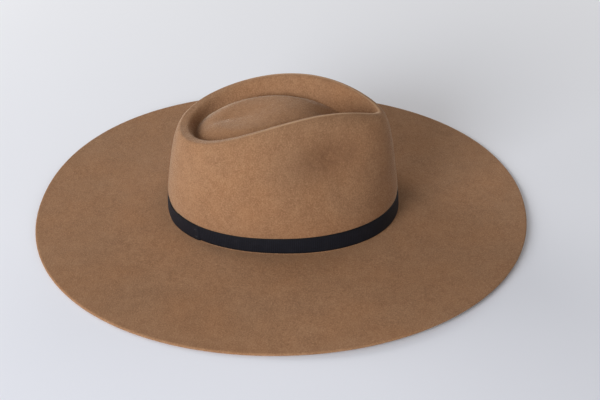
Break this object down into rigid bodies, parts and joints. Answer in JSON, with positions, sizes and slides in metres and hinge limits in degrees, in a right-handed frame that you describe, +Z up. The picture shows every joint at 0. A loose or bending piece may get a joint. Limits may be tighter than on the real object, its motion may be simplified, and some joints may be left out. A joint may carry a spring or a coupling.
{
  "type": "fedora hat",
  "caption": "Wide-brimmed felt fedora with a teardrop crown, pinched front, flat raw-edged brim, narrow ribbon band and inner sweatband.",
  "frame": {"origin": "centre of the brim's outline, on the surface that the brim rests on", "axes": "+Z up through the crown; +Y towards the back of the hat, so the front is at -Y; +X towards the wearer's left"},
  "size_m": [0.402, 0.436, 0.1127],
  "materials": {
    "felt": "camel wool felt with a short fine nap, fully matt, faintly mottled",
    "grosgrain": "near-black ribbed grosgrain ribbon, low sheen",
    "band_thread": "black polyester sewing thread",
    "leather": "smooth brown sheepskin, satin, fine grain",
    "tape": "brown woven cotton tape",
    "reed": "translucent white plastic cord, satin",
    "thread": "tan polyester sewing thread",
    "bow_ribbon": "narrow black satin ribbon",
    "label": "plain woven off-white tab, blank"
  },
  "bodies": {
    "root": {"felt_body": "felt", "hat_band": "grosgrain", "band_tack_upper": "band_thread", "band_tack_lower": "band_thread", "sweatband": "leather", "sweatband_seam_backing": "tape", "sweatband_reed": "reed", "reed_tape": "tape", "sweatband_stitching": "thread", "rear_bow_loops": "bow_ribbon", "rear_bow_knot": "bow_ribbon", "size_label": "label"}
  },
  "joints": []
}
